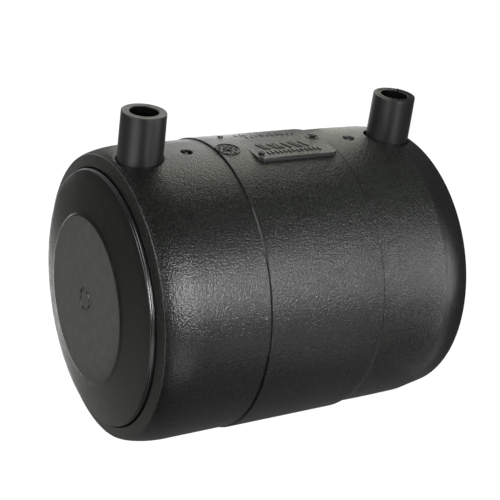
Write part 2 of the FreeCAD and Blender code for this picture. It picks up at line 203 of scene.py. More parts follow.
def skin_radius(z, angle=0.0):
    """Outside radius of the body at a height and an angle in radians round the pipe.

    Straight taper at the mouth, a barely crowned zone, the mouth seam, the middle zone, the plug seam, and a
    shoulder that falls by drop * t^2. A quarter round breaks both rims. The two halves of the mould, above
    and below the parting lines at 90 degrees, differ. Above them the mouth seam is a sharp step, with a
    groove at its foot that the mouth zone slopes into over 0.6 mm. Below them it is a 3 mm slope. The groove
    at the plug seam is 0.45 mm wide at the crown, gives way to a plain step with a fine lip between 36 and
    52 degrees, is 0.2 mm wide beyond, and opens to 0.75 mm below the parting lines."""
    turn = np.degrees(np.abs(angle))
    turn = np.minimum(turn, 360 - turn)
    under = ramp(turn, 89.0, 92.0)
    by_crown = 1 - ramp(turn, 5, 32)
    plain = ramp(turn, 31, 36) - ramp(turn, 51, 56)
    mouth_zone = MIDDLE - MOUTH_STEP - MOUTH_OVAL * (1 - np.cos(angle)) / 2
    crown = MOUTH_CROWN * np.sin(np.pi * np.clip((z - TAPER_LENGTH) / (MOUTH_SEAM - TAPER_LENGTH), 0, 1))
    r = mouth_zone + crown - TAPER_DROP * np.clip(1 - z / TAPER_LENGTH, 0, 1)
    slope = 0.08 + 1.45 * under
    r = r + (MIDDLE - r) * ramp(z, MOUTH_SEAM - slope, MOUTH_SEAM + slope)
    groove = ramp(z, MOUTH_SEAM - 1.0, MOUTH_SEAM - 0.4) - ramp(z, MOUTH_SEAM - 0.12, MOUTH_SEAM - 0.04)
    r = r - MOUTH_GROOVE_DEPTH * groove * (1 - under)
    plug_zone = MIDDLE - PLUG_STEP - PLUG_DRAFT * (LENGTH - z) / DRAFT_REACH
    t = np.clip((z - LENGTH + SHOULDER_LENGTH) / SHOULDER_LENGTH, 0, 1)
    beyond = plug_zone - SHOULDER_DROP * t ** 2
    r = r + (beyond - r) * ramp(z, PLUG_SEAM - 0.08, PLUG_SEAM + 0.1 + 0.17 * plain)
    width, depth = (least + at_crown * by_crown + below * under
                    for least, at_crown, below in (SEAM_WIDTH, SEAM_DEPTH))
    end = PLUG_SEAM + width
    groove = ramp(z, PLUG_SEAM - 0.02, PLUG_SEAM + 0.08) - ramp(z, end, end + 0.1)
    r = r - depth * (1 - plain) * groove
    lip = ramp(z, PLUG_SEAM - 0.35, PLUG_SEAM - 0.08) * (1 - ramp(z, PLUG_SEAM - 0.06, PLUG_SEAM + 0.4))
    r = r + SEAM_LIP * plain * lip
    mouth_round = 1 - np.sqrt(1 - np.clip(1 - z / MOUTH_ROUND, 0, 1) ** 2)
    plug_round = 1 - np.sqrt(1 - np.clip(1 - (LENGTH - z) / PLUG_ROUND, 0, 1) ** 2)
    return r - MOUTH_ROUND * mouth_round - PLUG_ROUND * plug_round


def skin_rows():
    """Heights of the grid lines on the outside: close by the seams, rims, wells and terminals."""
    squares = ((TERMINAL_Z[0], TERMINAL_CELLS), (WELL_Z[0], WELL_CELLS),
               (WELL_Z[1], WELL_CELLS), (TERMINAL_Z[1], TERMINAL_CELLS))
    near = [centre + ROW_STEP * np.arange(-cells, cells + 1) for centre, cells in squares]
    mouth = np.array([-1.8, -1.3, -1.0, -0.85, -0.7, -0.55, -0.4, -0.12, -0.04, 0, 0.06, 0.12, 0.5, 0.9, 1.4,
                      1.8])
    plug = np.array([-1, -0.3, -0.09, -0.04, 0.01, 0.06, 0.11, 0.2, 0.3, 0.36, 0.42, 0.48, 0.55, 0.65, 0.75,
                     0.82, 0.9, 1.5])
    rims = np.array([0, 0.03, 0.1, 0.2, 0.35])
    plain = np.concatenate([[18.2, 20], [28.6, 30.6], np.arange(38, 73, 3.5), [77.5, 79.5], [88.3, 90.3]])
    rows = np.concatenate([*near, MOUTH_SEAM + mouth, PLUG_SEAM + plug, rims, LENGTH - rims,
                           LENGTH - np.array([0.6, 0.9]), plain])
    return np.unique(rows.round(4))


def hole_rings(centre, edge, hole, side_gap, pin=None):
    """Points that lead from a square hole in the skin to a round one and down it.

    edge holds the square's points as (y, z). The ring between moves from edge to circle along straight
    lines; on the skin its x is sqrt(R(z)^2 - y^2). The hole is wider by side_gap sin^2 t along the pipe,
    twice that towards the closed end.
    Below the rim, rings of (radius, x) follow the hole's wall and floor, and the moulded pin in it where
    there is one, given by its radius and the x of its top."""
    middle = np.array([0.0, centre])
    turn = np.arctan2(edge[:, 1] - centre, edge[:, 0])
    ray = np.stack([np.cos(turn), np.sin(turn)], 1)
    hole = hole + side_gap * np.sin(turn) ** 2 * np.where(turn > 0, 2.0, 1.0)
    shares = np.linspace(0, 1, 5)[1:, None, None]
    rounding = 0.18
    flat = edge + (middle + (hole[:, None] + rounding) * ray - edge) * shares
    skin_x = np.sqrt(skin_radius(flat[..., 1]) ** 2 - flat[..., 0] ** 2)
    skin = np.concatenate([skin_x[..., None], flat], -1)
    rim_x = skin[-1, :, 0]
    steps = [(hole + 0.05, rim_x - 0.04), (hole, rim_x - rounding), (hole - 0.02, (rim_x + HOLE_FLOOR) / 2),
             (hole - 0.04, HOLE_FLOOR + 0.2), (hole - 0.2, HOLE_FLOOR)]
    if pin:
        radius, top = pin
        steps += [(radius + 0.12, HOLE_FLOOR), (radius, HOLE_FLOOR + 0.15), (radius - 0.03, top - 0.15),
                  (radius - 0.15, top), (0.4 * radius, top + 0.04)]
    else:
        steps += [(0.5 * hole, HOLE_FLOOR)]
    down = [np.column_stack([x + 0 * turn, r * ray[:, 0], centre + r * ray[:, 1]]) for r, x in steps]
    pole = np.array([[down[-1][:, 0].mean(), 0.0, centre]])
    return np.concatenate([skin, np.array(down)]), pole


def moulded_body():
    """Body skin: rings round the pipe at every row of a closed outline, with four round holes in its crown.

    The outline goes up the outside, over the sloping end face, down the lead-in bevel, the fused bore, the
    stop ring and the socket with the winding's recess, and out over the mouth's lead-in bevel and rim. A
    slot at the crown takes the wire's straight lead from the recess to the terminal by the plug."""
    rows_z = skin_rows()
    z_out = rows_z - RIM_FALL * np.clip((rows_z - LENGTH + RIM_FALL_REACH) / RIM_FALL_REACH, 0, 1) ** 2
    recess = SOCKET + RECESS_DEPTH
    inside = softened([
        (LEAD_IN, LENGTH, 0.25), (FUSED_BORE, LENGTH - LEAD_DEPTH, 0.3), (FUSED_BORE, STOP_HIGH, 0.2),
        (STOP_RING, STOP_HIGH, 0.3), (STOP_RING, STOP_LOW, 0.5), (SOCKET, STOP_LOW, 0.4),
        (SOCKET, RECESS_HIGH, 0.12), (recess, RECESS_HIGH, 0.25), (recess, RECESS_LOW, 0.25),
        (SOCKET, RECESS_LOW, 0.12), (SOCKET, LEAD_DEPTH, 0.4), (LEAD_IN, 0, 0.3)], steps=2, closed=False)
    inside = spaced(inside, 16.0, closed=False)
    angle = 2 * np.pi * np.arange(COLUMNS) / COLUMNS
    outside_r = skin_radius(rows_z[:, None], angle[None, :])
    inside_r = inside[:, :1] + 0 * angle[None, :]
    off_crown = np.abs(np.where(angle > np.pi, angle - 2 * np.pi, angle))
    slot = 1 - ramp(off_crown * SOCKET, 0.7, 1.1)
    slot_rows = (inside[:, 1:] > RECESS_HIGH - 0.1) & (inside[:, 1:] < TERMINAL_Z[1] + 0.9)
    inside_r = np.where(slot_rows, inside_r + (recess - inside_r) * slot, inside_r)
    r = np.vstack([outside_r, inside_r])
    z = np.concatenate([z_out, inside[:, 1]])[:, None] + 0 * angle[None, :]
    points = np.stack([r * np.cos(angle), r * np.sin(angle), z], -1)
    rows = len(r)
    number = np.arange(rows * COLUMNS).reshape(rows, COLUMNS)
    keep = np.ones((rows, COLUMNS), bool)
    quads, triangles, blocks, total = [], [], [points.reshape(-1, 3)], rows * COLUMNS
    foot_hole = SHROUDS[MOUTH_SHROUD][1].y + FOOT_GAP
    holes = [(centre, TERMINAL_CELLS, foot_hole, gap, None) for centre, gap in zip(TERMINAL_Z, SIDE_GAPS)]
    holes += [(centre, WELL_CELLS, WELL_RADIUS, 0.0, (WELL_PIN, WELL_PIN_TOP)) for centre in WELL_Z]
    for centre, cells, hole, side_gap, pin in holes:
        row = np.argmin(np.abs(z_out - centre))
        up, across = row + np.arange(-cells, cells + 1), np.arange(-cells, cells + 1) % COLUMNS
        keep[np.ix_(up[:-1], across[:-1])] = False
        loop = np.concatenate([number[up[0], across], number[up[1:], across[-1]],
                               number[up[-1], across[-2::-1]], number[up[-2:0:-1], across[0]]])
        rings, pole = hole_rings(centre, blocks[0][loop][:, 1:], hole, side_gap, pin)
        around = len(loop)
        labels = np.vstack([loop, total + np.arange(rings.shape[0] * around).reshape(-1, around)])
        inner = np.roll(labels, -1, 1)
        quads.append(np.stack([labels[:-1], inner[:-1], inner[1:], labels[1:]], -1).reshape(-1, 4))
        blocks += [rings.reshape(-1, 3), pole]
        total += rings.shape[0] * around + 1
        triangles.append(fan(labels[-1], total - 1))
    sheet = ring_faces(rows, COLUMNS, closed=True)[keep.ravel()]
    return solid_piece("moulded_body", np.vstack(blocks), np.vstack([sheet, *quads]), np.vstack(triangles))


def moulded_plug():
    """Plug turned round the pipe's axis: hollow spigot, bevel, flange, ledge under the rim, conical band,
    flat disc, and a gate mark with a groove round it."""
    face, flange, rim = PLUG_BOX[1].z, PLUG_BOX[1].y, PLUG_RIM
    bevel = LEAD_DEPTH / (LEAD_IN - FUSED_BORE)
    spigot = FUSED_BORE - PLUG_PLAY
    line = softened([
        (0, face - PLUG_WALL, 0), (PLUG_HOLLOW, face - PLUG_WALL, 3.2), (PLUG_HOLLOW, STOP_HIGH, 0.4),
        (spigot, STOP_HIGH, 0.4), (spigot, LENGTH - (LEAD_IN - spigot) * bevel, 0.2),
        (flange, LENGTH - 0.6 * bevel, 0.35), (flange, rim - 0.75, 0.1), (flange - 0.22, rim - 0.6, 0.06),
        (flange - 0.26, rim, 0.38), (DISC + 0.9, face - 0.5, 0.3), (DISC, face, 0.35),
        (3.95, face, 0.1), (3.8, face - 0.28, 0.1), (3.2, face - 0.28, 0.1), (3.0, face + 0.02, 0.15),
        (0, face + 0.04, 0)], steps=4, closed=False)
    return turned_piece("moulded_plug", spaced(line, 4.0, closed=False), 320)


def shroud(name, node, groove):
    """Sleeve turned round its own axis: floor, drafted bore, rim with a ring groove of that depth, and a
    drafted outside. Its bore takes the second finish, a near-black that hardly reflects, as painted shade."""
    low, high = SHROUDS[node]
    seat, rim, radius, height = low.x, high.x, high.y, (low.z + high.z) / 2
    floor = rim - SHROUD_DEPTH
    line = softened([
        (0, floor, 0), (SHROUD_BORE - 0.15, floor, 0.4), (SHROUD_BORE, rim - 0.35, 0.1),
        (SHROUD_BORE + 0.22, rim - 0.02, 0.08), (5.25, rim, 0.04), (5.5, rim - groove, 0.04),
        (5.65, rim - groove, 0.04), (5.9, rim, 0.04), (radius - 0.14, rim - 0.02, 0.22),
        (radius - 0.1, rim - 1.4, 0.3), (radius + 0.04, MIDDLE - 3, 0.3), (radius, seat, 0.3),
        (0, seat, 0)], steps=4, closed=False)
    piece = turned_piece(name, spaced(line, 2.5, closed=False)[::-1], 128, "x", height)
    middles = np.empty(3 * len(piece.data.polygons), np.float32)
    piece.data.polygons.foreach_get("center", middles)
    x, y, z = middles.reshape(-1, 3).T / MM
    # Faces of the bore take the second finish: painted shade.
    bore = (np.hypot(y, z - height) < BORE_LIMIT) & (x > floor - 0.1)
    piece.data.polygons.foreach_set("material_index", bore.astype(np.int32))
    return piece


def rim_burr(name, node, turn, radius, rise):
    """Small torn edge left on a shroud's rim: a ring of points that closes to a bent tip, rise above it."""
    low, high = SHROUDS[node]
    rim, height = high.x, (low.z + high.z) / 2
    t = np.linspace(0, 2 * np.pi, 12, endpoint=False)
    middle = np.array([radius * math.cos(turn), radius * math.sin(turn)])
    rings = []
    for share, lift in ((1.0, -0.3), (0.9, 0.05), (0.45, 0.55 * rise), (0.15, 0.9 * rise)):
        spot = middle * (1 + 0.02 * lift)
        rings.append(np.column_stack([rim + lift + 0 * t, spot[0] + 0.42 * share * np.cos(t),
                                      height + spot[1] + 0.3 * share * np.sin(t)]))
    ends = [rings[0].mean(0), rings[-1].mean(0) + [0.15 * rise, 0, 0]]
    return capped_piece(name, np.array(rings), ends)


def terminal_pin(name, node):
    """Pin turned round the shroud's axis: domed tip, straight contact, low collar and shank."""
    low, high = PINS[node]
    tip, foot, height = high.x, low.x, (low.z + high.z) / 2
    floor = SHROUDS[MOUTH_SHROUD][1].x - SHROUD_DEPTH
    contact, collar, shank = 1.98, 2.95, 1.5
    line = softened([
        (0, tip, 0), (1.0, tip, 0.5), (contact - 0.02, tip - 0.9, 0.5), (contact, floor + 1.6, 0.2),
        (collar - 0.05, floor + 1.5, 0.2), (collar, floor + 0.02, 0.1), (shank, floor, 0.1),
        (shank, foot, 0.3), (0, foot, 0)], steps=4, closed=False)
    return turned_piece(name, spaced(line, 3.0, closed=False)[::-1], 64, "x", height)


def round_winding():
    """Round wire: close turns, (r cos t, r sin t, z + pitch t / 2 pi), then a straight lead at t = 0. Each
    point of the path carries a ring (u, v) = R (cos a, sin a), with u to the wire's side and v outwards."""
    t = np.linspace(0, 2 * np.pi * WIRE_TURNS, WIRE_TURNS * 72 + 1)
    z = TERMINAL_Z[0] + WINDING_LENGTH * t / (2 * np.pi * WIRE_TURNS)
    lead = np.linspace(TERMINAL_Z[0] + WINDING_LENGTH + 0.6, TERMINAL_Z[1] + 0.5, 12)
    t, z = np.concatenate([t, 0 * lead]), np.concatenate([z, lead])
    lift = np.column_stack([np.cos(t), np.sin(t), 0 * t])
    path = (WIRE_BOX[1].y - WIRE_RADIUS) * lift + np.column_stack([0 * t, 0 * t, z])
    side = np.cross(lift, np.gradient(path, axis=0))
    side /= np.linalg.norm(side, axis=1, keepdims=True)
    a = np.linspace(0, 2 * np.pi, 10, endpoint=False)[None, :, None]
    grid = path[:, None] + WIRE_RADIUS * np.cos(a) * side[:, None] + WIRE_RADIUS * np.sin(a) * lift[:, None]
    return capped_piece("round_winding", grid, [grid[0].mean(0), grid[-1].mean(0)])


def label_pad():
    """Flat pad with cut corners on the crown: rings of its outline from its root up to a bevelled top edge.
    Its sides are as smooth as the mould and take the second finish."""
    near, far, low, high, cut = PAD_NEAR, PAD_FAR, PAD_LOW, PAD_HIGH, PAD_CORNER
    corners = [(near + cut, low), (far - cut, low), (far, low + cut), (far, high - cut),
               (far - cut, high), (near + cut, high), (near, high - cut), (near, low + cut)]
    outline = spaced(softened([(*corner, 0.15) for corner in corners], steps=2), 1.2)
    middle = outline.mean(0)
    inward = (middle - outline) / np.linalg.norm(middle - outline, axis=1, keepdims=True)
    rings = [(PAD_ROOT, 0), (PAD_TOP - 0.6, 0), (PAD_TOP - 0.12, 0), (PAD_TOP, 0.12)]
    grid = [np.column_stack([x + 0 * outline[:, 0], outline + inset * inward]) for x, inset in rings]
    piece = capped_piece("label_pad", np.array(grid), [[PAD_ROOT, *middle], [PAD_TOP, *middle]])
    side = np.arange(len(piece.data.polygons)) < 2 * len(outline)
    piece.data.polygons.foreach_set("material_index", side.astype(np.int32))
    return piece


def on_pad(across, along, lift):
    """Points of a flat drawing laid on the label pad."""
    return np.stack([PAD_TOP + lift, across, along + 0 * lift], -1)


def on_skin(across, along, lift):
    """Points of a flat drawing wrapped on the body, with its middle line on the crown."""
    turn = across / MIDDLE
    r = skin_radius(along, turn) + lift
    return np.stack([r * np.cos(turn), r * np.sin(turn), along + 0 * lift], -1)


def raised_blocks(name, centres, sizes, turns, rise, lay):
    """Small raised blocks as in moulded relief, wrapped by lay on the pad or the skin.

    Corner k of level j is centre + turned(size / 2 - inset_j) (+-1, +-1), at the level's lift. The foot
    lies under the surface, and the top's edge is drawn in."""
    centres = np.asarray(centres, float)
    count = len(centres)
    sizes = np.broadcast_to(np.asarray(sizes, float), (count, 2))
    turns = np.radians(np.broadcast_to(turns, count))
    signs = np.array([[-1, -1], [1, -1], [1, 1], [-1, 1]])
    levels = np.array([(RELIEF_ROOT, 0.0), (0.55 * rise, 0.0), (rise, 0.07)])
    half = sizes[:, None, None] / 2 - levels[None, :, 1, None, None]
    flat = signs[None, None] * half
    c, s = np.cos(turns)[:, None, None], np.sin(turns)[:, None, None]
    across = centres[:, 0, None, None] + c * flat[..., 0] - s * flat[..., 1]
    along = centres[:, 1, None, None] + s * flat[..., 0] + c * flat[..., 1]
    lift = levels[None, :, 0, None] + 0 * across
    points = lay(across, along, lift).reshape(-1, 3)
    each = np.vstack([ring_faces(3, 4), [[3, 2, 1, 0]], [[8, 9, 10, 11]]])
    return solid_piece(name, points, (each[None] + 12 * np.arange(count)[:, None, None]).reshape(-1, 4))


def raised_ring(name, centre, radius, width, rise, lay):
    """Ring moulded in relief: centre + (radius + u) (cos t, sin t), lift v, for the corners (u, v) of its
    half-round section."""
    around = 48
    t = np.linspace(0, 2 * np.pi, around, endpoint=False)[None, :]
    top = np.array([(-0.5, 0), (0.5, 0), (0.5, 0.4), (0.28, 0.85), (0, 1), (-0.28, 0.85), (-0.5, 0.4)])
    u, v = top[:, :1] * width, top[:, 1:] * rise
    v[:2] = RELIEF_ROOT
    across = centre[0] + (radius + u) * np.cos(t)
    along = centre[1] + (radius + u) * np.sin(t)
    points = lay(across, along, v + 0 * t).reshape(-1, 3)
    return solid_piece(name, points, ring_faces(len(top), around, closed=True))


def parting_flash(name, angle, low, high):
    """Fine ridge where the mould's halves meet: a half-round section carried along the skin at one angle.
    Its height goes as 0.6 + 0.4 sin(1.7 z) between its ends, where it runs out."""
    z = np.arange(low, high, 0.5)
    ends = ramp(z, low, low + 3) * (1 - ramp(z, high - 3.5, high - 0.5))
    rise = FLASH_HEIGHT * (0.6 + 0.4 * np.sin(1.7 * z)) * ends
    a = np.linspace(np.pi, 0, 6)
    across = math.radians(angle) * MIDDLE + FLASH_HALF * np.cos(a)[None, :] + 0 * z[:, None]
    lift = rise[:, None] * np.sin(a)[None, :]
    across = np.hstack([across, across[:, -1:], across[:, :1]])
    lift = np.hstack([lift, np.full((len(z), 2), FLASH_ROOT)])
    grid = on_skin(across, z[:, None] + 0 * across, lift)
    return capped_piece(name, grid, [grid[0].mean(0), grid[-1].mean(0)])


def round_boss(name, place):
    """Low round boss on the pad, at (y, z): a straight side with a softened edge and a hollow top."""
    y, z = place
    radius, rise = 1.0, 0.8
    line = softened([(0, PAD_TOP - 1, 0), (radius, PAD_TOP - 1, 0), (radius, PAD_TOP + rise, 0.15),
                     (0.62 * radius, PAD_TOP + rise, 0.1), (0.5 * radius, PAD_TOP + 0.55 * rise, 0.1),
                     (0, PAD_TOP + 0.5 * rise, 0)], steps=3, closed=False)
    piece = turned_piece(name, line, 40, "x", z)
    places = np.empty(3 * len(piece.data.vertices), np.float32)
    piece.data.vertices.foreach_get("co", places)
    places[1::3] += y * MM
    piece.data.vertices.foreach_set("co", places)
    return piece


def moulded_marks():
    """Relief on the crown: two rows of plain bars on the pad and two beyond it, a dial with ticks and a
    pointer, a ring round the boss by the mouth, a small tab, and the fine flash along both parting lines."""
    large = [(-2.3, z) for z in (59.2, 57.9, 55.2, 54.0, 52.8, 50.2, 47.4, 46.2, 43.6)]
    small = [(-7.0 + 0.25 * math.sin(2.3 * z), z) for z in np.arange(40.6, 60.0, 1.55)]
    beyond = [(11.2 - 0.19 * (61.5 - z), z) for z in (61.2, 59.3, 58.1, 55.6, 53.2, 52.0, 49.7, 47.6, 46.4)]
    edge = [(7.4, z) for z in np.arange(42.0, 61.0, 1.9)]
    dial = (-1.6, 70.9)
    ticks = np.radians(np.arange(0, 360, 30))
    tick_places = np.column_stack([dial[0] + 2.75 * np.cos(ticks), dial[1] + 2.75 * np.sin(ticks)])
    flash_ends = (10.0, LENGTH - 13.0)
    return [
        raised_blocks("pad_bars_large", large, (4.6, 0.42), 22, 0.32, on_pad),
        raised_blocks("pad_bars_small", small, (1.9, 0.5), 8, 0.3, on_pad),
        raised_blocks("far_bars_large", beyond, (2.3, 0.6), -11, 0.22, on_skin),
        raised_blocks("far_bars_small", edge, (1.2, 0.5), 0, 0.2, on_skin),
        raised_ring("dial_rim", dial, 3.9, 0.45, 0.3, on_skin),
        raised_ring("dial_middle", dial, 1.5, 0.35, 0.25, on_skin),
        raised_blocks("dial_ticks", tick_places, (0.95, 0.34), np.degrees(ticks), 0.22, on_skin),
        raised_blocks("dial_pointer", [dial, dial], (2.6, 0.4), [35, 125], 0.3, on_skin),
        raised_ring("boss_ring", BOSS_BY_MOUTH, 2.1, 0.4, 0.2, on_pad),
        raised_blocks("small_tab", [(10.8, 66.8)], (1.4, 1.2), 0, 0.5, on_skin),
        parting_flash("near_parting_flash", -90.0, *flash_ends),
        parting_flash("far_parting_flash", 90.0, *flash_ends),
    ]


def new_finish(name):
    """Empty node material with its surface shader and object coordinates."""
    finish = bpy.data.materials.new(name)
    finish.use_nodes = True
    nodes, links = finish.node_tree.nodes, finish.node_tree.links
    shader = nodes["Principled BSDF"]
    place = nodes.new("ShaderNodeTexCoord").outputs["Object"]
    return finish, nodes, links, shader, place


def noise(nodes, links, vector, size, detail, roughness=0.5):
    """Noise whose patches are about size millimetres across."""
    texture = nodes.new("ShaderNodeTexNoise")
    texture.inputs["Scale"].default_value = 1 / (size * MM)
    texture.inputs["Detail"].default_value = detail
    texture.inputs["Roughness"].default_value = roughness
    links.new(vector, texture.inputs["Vector"])
    return texture.outputs["Fac"]


def between(nodes, links, value, low, high, new_low, new_high):
    """Value carried from one range to another, and held at its ends."""
    node = nodes.new("ShaderNodeMapRange")
    for key, number in (("From Min", low), ("From Max", high), ("To Min", new_low), ("To Max", new_high)):
        node.inputs[key].default_value = number
    links.new(value, node.inputs["Value"])
    return node.outputs["Result"]


def sums(nodes, links, operation, first, second):
    """One sum of two values, either of them a number or a socket."""
    node = nodes.new("ShaderNodeMath")
    node.operation = operation
    for place, value in zip(node.inputs, (first, second)):
        if isinstance(value, (int, float)):
            place.default_value = value
        else:
            links.new(value, place)
    return node.outputs[0]


def mixed(nodes, links, share, first, second):
    """Colour that goes from first at share 0 to second at share 1."""
    node = nodes.new("ShaderNodeMix")
    node.data_type = "RGBA"
    node.inputs["A"].default_value = (*first, 1)
    node.inputs["B"].default_value = (*second, 1)
    links.new(share, node.inputs["Factor"])
    return node.outputs["Result"]


def bumped(nodes, links, shader, height, distance):
    """Relief of the surface: height 1 stands distance millimetres over height 0."""
    node = nodes.new("ShaderNodeBump")
    node.inputs["Distance"].default_value = distance * MM
    node.inputs["Strength"].default_value = 1.0
    links.new(height, node.inputs["Height"])
    links.new(node.outputs["Normal"], shader.inputs["Normal"])


def grained_polyethylene():
    """Black with a spark-eroded grain. Its peaks are painted paler: partly the grain's own tone, partly
    painted glints. The grain is strongest by the mouth and fades towards the plug, and is flatter on the
    taper and on the lower half. The paler peaks fade there too, so these are painted darker as painted shade."""
    finish, nodes, links, shader, place = new_finish("grained_polyethylene")
    axes = nodes.new("ShaderNodeSeparateXYZ")
    links.new(place, axes.inputs["Vector"])
    taper_edge = (8.6 * MM, 9.8 * MM)
    off_taper = between(nodes, links, axes.outputs["Z"], *taper_edge, 0.35, 1.0)
    # Less grain on the lower half. Its share of the paler colour is painted shade.
    upper = between(nodes, links, axes.outputs["X"], -4 * MM, 18 * MM, 0.56, 1.0)
    by_mouth = between(nodes, links, axes.outputs["Z"], 12 * MM, 105 * MM, 1.7, 0.7)
    grain_and_glint_share = sums(nodes, links, "MULTIPLY", off_taper, sums(nodes, links, "MULTIPLY", upper, by_mouth))
    fine = noise(nodes, links, place, 0.45, 1.0)
    coarse = noise(nodes, links, place, 1.1, 1.0)
    height = sums(nodes, links, "ADD", fine, sums(nodes, links, "MULTIPLY", coarse, 0.4))
    bumped(nodes, links, shader, sums(nodes, links, "MULTIPLY", height, grain_and_glint_share), 0.2)
    worn = noise(nodes, links, place, 9.0, 3.0, 0.55)
    gloss = between(nodes, links, worn, 0.3, 0.7, 0.29, 0.33)
    on_taper = between(nodes, links, axes.outputs["Z"], *taper_edge, 0.04, 0.0)
    links.new(sums(nodes, links, "ADD", gloss, on_taper), shader.inputs["Roughness"])
    # Painted glints and shade: the peaks are painted paler, most on the upper half and by the mouth, and the
    # lower half and the taper are painted darker.
    pale = sums(nodes, links, "MULTIPLY", between(nodes, links, height, 0.54, 0.9, 0.0, 1.0), grain_and_glint_share)
    tint = mixed(nodes, links, pale, (0.0015, 0.0018, 0.0015), (0.0165, 0.019, 0.016))
    links.new(tint, shader.inputs["Base Color"])
    return finish


def smooth_polyethylene(name, colour, rough_low, rough_high, streak=(1, 1, 1)):
    """Black and as smooth as its mould, with faint flow marks. Each part of streak below 1 makes them longer
    along its axis."""
    finish, nodes, links, shader, place = new_finish(name)
    drawn = nodes.new("ShaderNodeMapping")
    drawn.inputs["Scale"].default_value = streak
    links.new(place, drawn.inputs["Vector"])
    flow = noise(nodes, links, drawn.outputs["Vector"], 3.0, 3.0)
    fine = noise(nodes, links, place, 0.5, 1.0)
    links.new(between(nodes, links, flow, 0.3, 0.7, rough_low, rough_high), shader.inputs["Roughness"])
    height = sums(nodes, links, "ADD", flow, sums(nodes, links, "MULTIPLY", fine, 0.25))
    bumped(nodes, links, shader, height, 0.012)
    shader.inputs["Base Color"].default_value = (*colour, 1)
    return finish


def drawn_metal(name, colour, roughness, grain):
    """Bare metal with fine marks of about grain millimetres and a little tarnish."""
    finish, nodes, links, shader, place = new_finish(name)
    marks = noise(nodes, links, place, grain, 2.0, 0.6)
    tarnish = between(nodes, links, noise(nodes, links, place, 2.5, 3.0, 0.6), 0.45, 0.75, 0.0, 1.0)
    tint = mixed(nodes, links, tarnish, colour, [0.62 * part for part in colour])
    links.new(tint, shader.inputs["Base Color"])
    rough = between(nodes, links, marks, 0.3, 0.7, roughness - 0.06, roughness + 0.1)
    links.new(rough, shader.inputs["Roughness"])
    bumped(nodes, links, shader, marks, 0.006)
    shader.inputs["Metallic"].default_value = 1.0
    return finish


body_finish = grained_polyethylene()
plug_finish = smooth_polyethylene("smooth_plug_polyethylene", (0.008, 0.0082, 0.0078), 0.2, 0.28)
shroud_finish = smooth_polyethylene("smooth_shroud_polyethylene", (0.006, 0.0063, 0.0063), 0.36, 0.44,
                                    (0.15, 1, 1))
# Painted shade: a near-black that hardly reflects, for the shrouds' bores and the burr and nick on the mouth
# shroud's rim.
painted_shade_finish = smooth_polyethylene("painted_shade_polyethylene", (0.002, 0.002, 0.002), 0.45, 0.55)
painted_shade_finish.node_tree.nodes["Principled BSDF"].inputs["Specular IOR Level"].default_value = 0.04
side_finish = smooth_polyethylene("pad_side_polyethylene", (0.009, 0.0097, 0.0093), 0.45, 0.55)
relief_finish = smooth_polyethylene("smooth_relief_polyethylene", (0.004, 0.004, 0.004), 0.22, 0.28)
wire_finish = drawn_metal("drawn_copper", (0.78, 0.43, 0.28), 0.3, 0.2)
pin_finish = drawn_metal("tinned_brass", (0.78, 0.74, 0.64), 0.28, 0.25)

BODY_SLOT, SHROUD_SLOT = "body_polyethylene", "shroud_polyethylene"
PIECES = [
    (moulded_body(), "coupler_body", BODY_SLOT, body_finish),
    (moulded_plug(), "end_plug", "plug_polyethylene", plug_finish),
    (round_winding(), "heating_wire", "wire_copper", wire_finish),
    (shroud("shroud_by_mouth", MOUTH_SHROUD, 0.26), MOUTH_SHROUD, SHROUD_SLOT, shroud_finish),
    (shroud("shroud_by_plug", PLUG_SHROUD, 0.05), PLUG_SHROUD, SHROUD_SLOT, shroud_finish),
    (terminal_pin("pin_by_mouth", MOUTH_PIN), MOUTH_PIN, "terminal_metal", pin_finish),
    (terminal_pin("pin_by_plug", PLUG_PIN), PLUG_PIN, "terminal_metal", pin_finish),
    (label_pad(), None, BODY_SLOT, body_finish),
    (round_boss("boss_by_plug", BOSS_BY_PLUG), None, BODY_SLOT, relief_finish),
    (round_boss("boss_by_mouth", BOSS_BY_MOUTH), None, BODY_SLOT, relief_finish),
    *[(piece, None, BODY_SLOT, relief_finish) for piece in moulded_marks()],
    # The burr and the nick are painted dark with the painted shade finish.
    (rim_burr("rim_burr", MOUTH_SHROUD, math.radians(-49), 4.75, 0.9), None, SHROUD_SLOT, painted_shade_finish),
    (rim_burr("rim_nick", MOUTH_SHROUD, math.radians(138), 5.0, 0.12), None, SHROUD_SLOT, painted_shade_finish),
]
# The shrouds' bores take the painted shade finish as their second finish.
SECOND_FINISH = {"label_pad": side_finish, "shroud_by_mouth": painted_shade_finish, "shroud_by_plug": painted_shade_finish}
for piece, node, slot, finish in PIECES:
    piece.data.materials.append(finish)
    if piece.name in SECOND_FINISH:
        piece.data.materials.append(SECOND_FINISH[piece.name])
    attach(piece, "root")
    if node:
        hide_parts(node)
finish_of = {node: finish for piece, node, slot, finish in PIECES if node}
for node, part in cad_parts.items():
    part.data.materials.clear()
    part.data.materials.append(finish_of[node])


def straight_rays(nodes, links, path):
    """1 for rays that come straight from the camera, and 0 for all others."""
    return sums(nodes, links, "MAXIMUM", path.outputs["Is Camera Ray"], path.outputs["Is Transmission Ray"])


